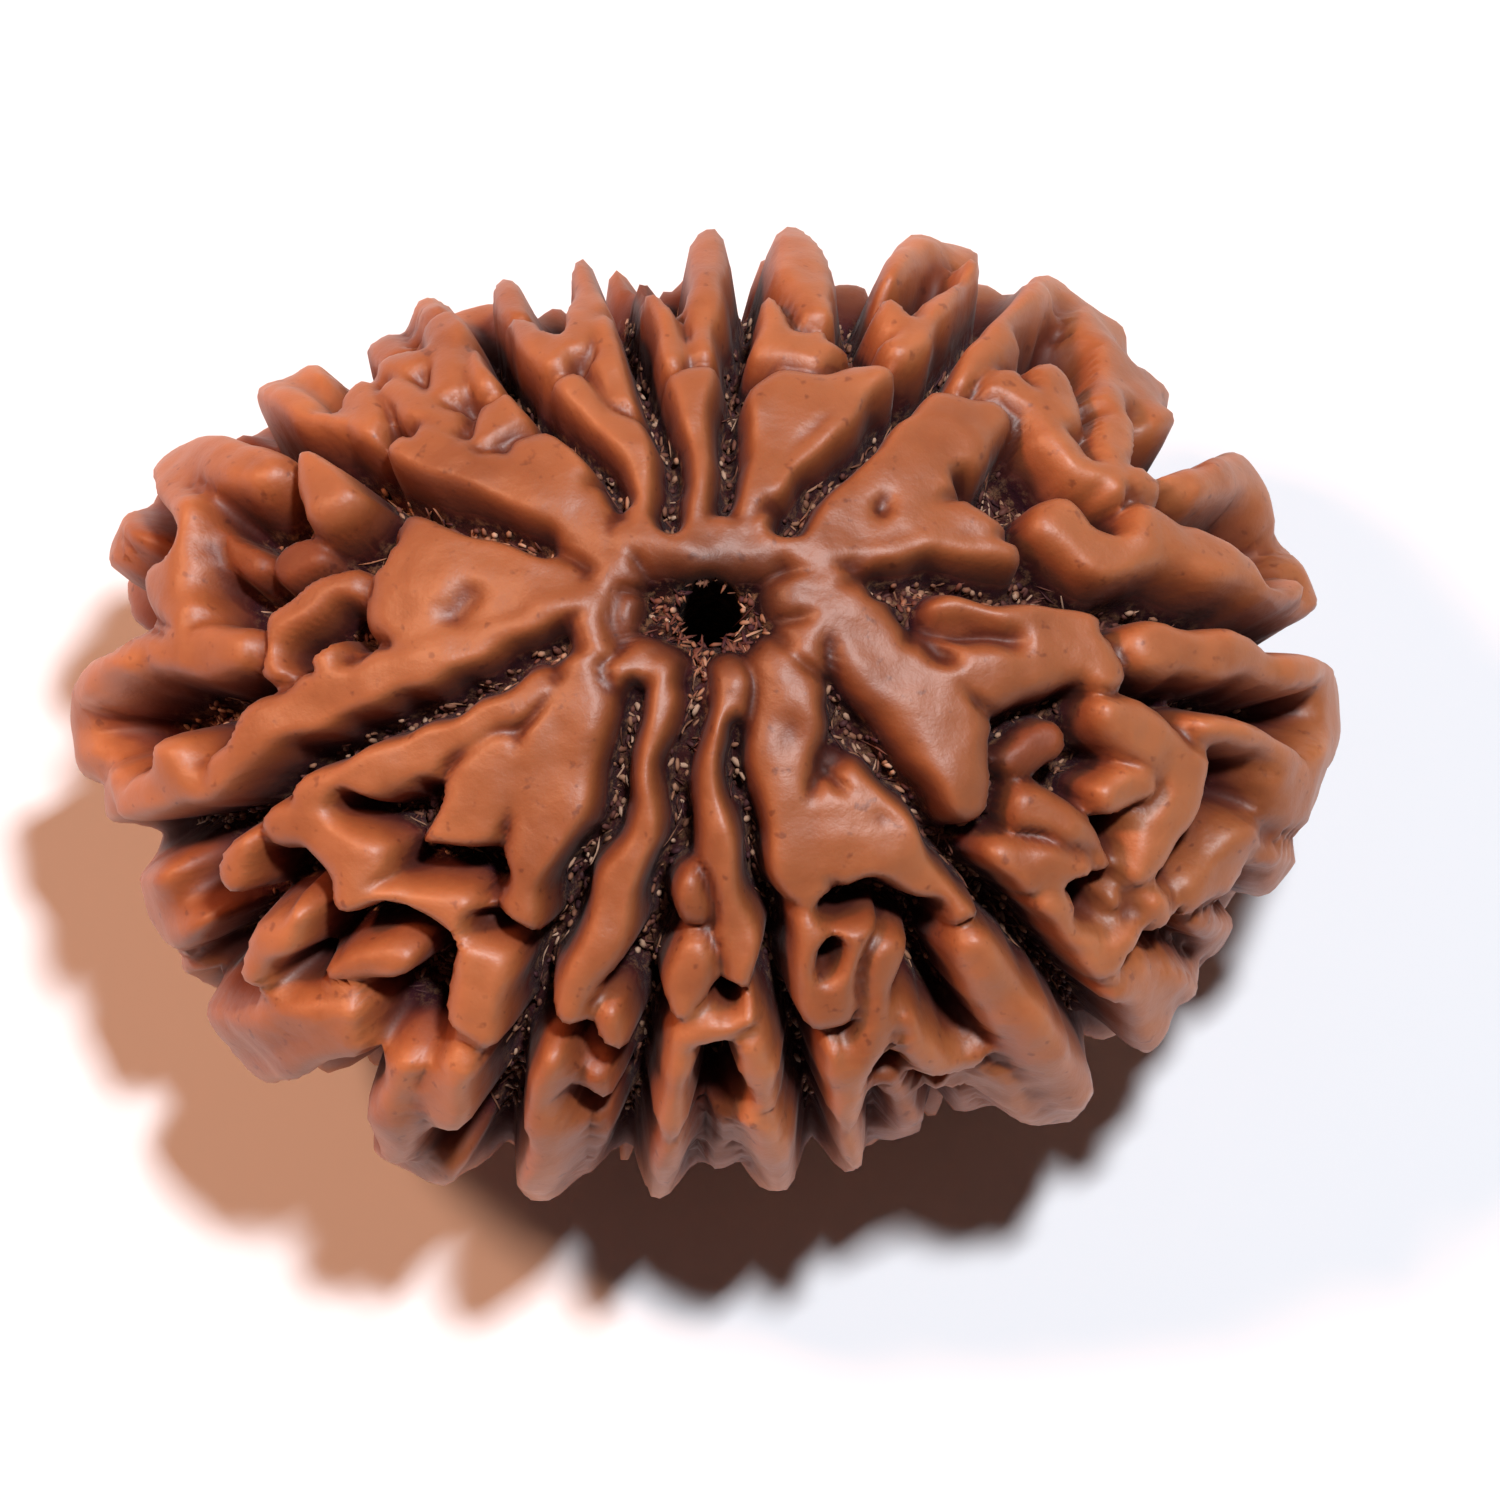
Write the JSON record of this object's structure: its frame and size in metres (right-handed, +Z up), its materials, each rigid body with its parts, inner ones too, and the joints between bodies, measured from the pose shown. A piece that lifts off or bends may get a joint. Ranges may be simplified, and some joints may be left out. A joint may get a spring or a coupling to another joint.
{
  "type": "rudraksha seed bead",
  "caption": "knobbly oblong seed stone with deep meridian grooves, wormy rounded ridges between them and a natural thread hole from top to bottom",
  "frame": {"origin": "centre of the bounding box in plan, at the height of the flat spot the seed rests on", "axes": "+X along the longest extent, +Y across, +Z up along the thread hole, which is the shortest extent"},
  "size_m": [0.0274, 0.0212, 0.0165],
  "materials": {
    "seed_shell": "hard woody shell, waxy satin brown on the ridges, rough dark purple-brown in the crevices"
  },
  "bodies": {
    "root": {"rudraksha_seed": "seed_shell"}
  },
  "joints": []
}
